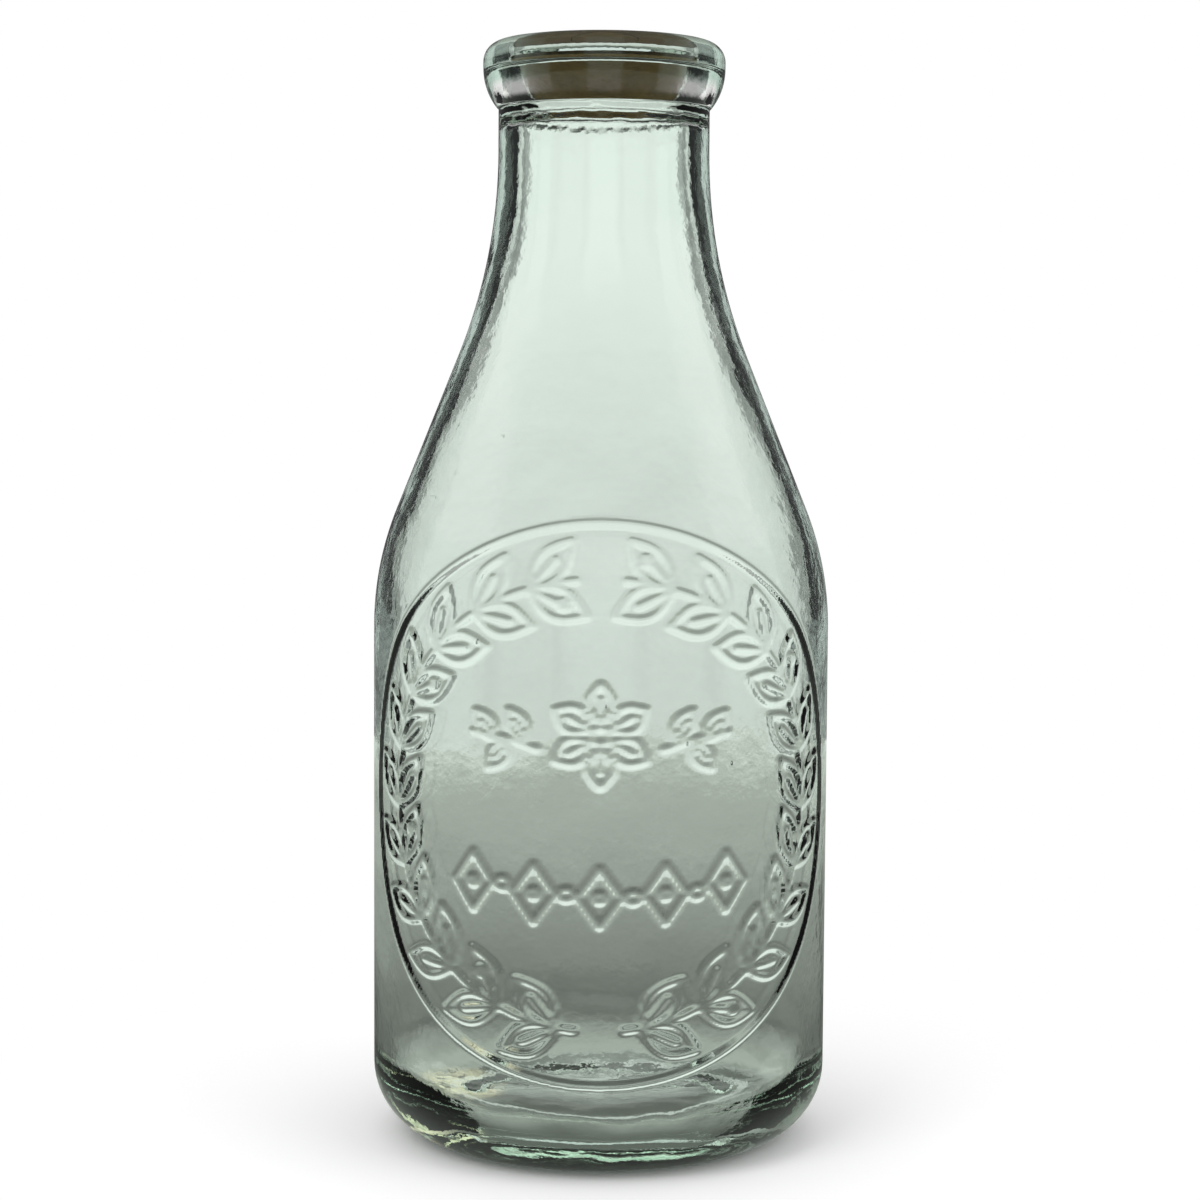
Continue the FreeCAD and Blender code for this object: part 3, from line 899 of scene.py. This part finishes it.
def surroundings():
    world = bpy.context.scene.world or bpy.data.worlds.new("studio")
    bpy.context.scene.world = world
    world.use_nodes = True
    bench = Bench(world.node_tree)
    heading = bench.add("ShaderNodeTexCoord").output("Generated")
    split = bench.add("ShaderNodeSeparateXYZ", None, {"Vector": heading})
    east, north, up = split.output("X"), split.output("Y"), split.output("Z")
    azimuth = split.maths("ARCTAN2", east, north)
    panels = bench.ease(split.maths("COSINE", azimuth * room["panels"]), *room["panelCut"])
    windows = bench.ease(split.maths("COSINE", azimuth * room["windows"]), *room["windowCut"])
    path = bench.add("ShaderNodeLightPath")
    refracted = path.output("Is Transmission Ray")
    mirrored = path.output("Is Glossy Ray") * (1 - refracted)
    # light that has only run along inside a wall shows the darker parts of the room
    crossed = bench.ease(path.output("Transmission Depth"), *room["crossings"])
    rising = bench.ease(up, *room["rising"])
    sinking = 1 - bench.ease(up, *room["sinking"])
    ends = rising * room["risingLight"] + sinking * room["sinkingLight"]
    skylight = 1 - bench.ease(up, *room["skylight"]) * room["ceilingDark"]
    alongWall = skylight * (room["shadow"] + windows * room["windowLight"] + ends)
    ceiling = 1 - bench.ease(up, *room["ceiling"]) * room["ceilingDark"]
    acrossRoom = ceiling * (room["panelGap"] + panels * (1 - room["panelGap"]))
    backdrop = room["lowLight"] + bench.ease(up, *room["horizon"]) * room["horizonLight"]
    shown = backdrop * (crossed * acrossRoom + (1 - crossed) * alongWall)
    strength = refracted * shown + mirrored * room["mirrorLight"] + (1 - refracted - mirrored)
    wallLight = bench.blendColours(rising, room["edgeTint"], room["skyTint"])
    glassLight = bench.blendColours(crossed, wallLight, room["tint"])
    tint = bench.blendColours(refracted, (1, 1, 1, 1), glassLight)
    sky = bench.add("ShaderNodeBackground", None, {"Color": tint, "Strength": strength})
    bench.add("ShaderNodeOutputWorld", None, {"Surface": sky})


surroundings()

stage = {
    "lamps": (  # name, place, width, power
        ("keyLamp", (-550, -750, 950), 600, 4),
        ("fillLamp", (750, -450, 700), 700, 2),
    ),
    "lampAim": (0, 0, 120),
    "cameraPlace": (-0.56, -617.1, 169.2),
    "cameraTilt": 4.521,
    "cameraRoll": -0.345,
    "lens": 82.45,
    "sensor": 36,
}
for name, place, width, power in stage["lamps"]:
    spot = Vector(place) * mm
    bpy.ops.object.light_add(type="AREA", location=spot)
    lamp = bpy.context.object
    lamp.name = name
    lamp.data.size = width * mm
    lamp.data.energy = power
    lamp.visible_glossy = False
    lamp.visible_transmission = False
    aim = Vector(stage["lampAim"]) * mm - spot
    lamp.rotation_euler = aim.to_track_quat("-Z", "Y").to_euler()

bpy.ops.object.camera_add(location=[value * mm for value in stage["cameraPlace"]])
camera = bpy.context.object
camera.rotation_euler = (
    math.radians(90 - stage["cameraTilt"]), math.radians(stage["cameraRoll"]), 0
)
camera.data.lens = stage["lens"]
camera.data.sensor_width = stage["sensor"]
bpy.context.scene.camera = camera
bpy.context.scene.view_settings.view_transform = "Standard"
print("stage set")
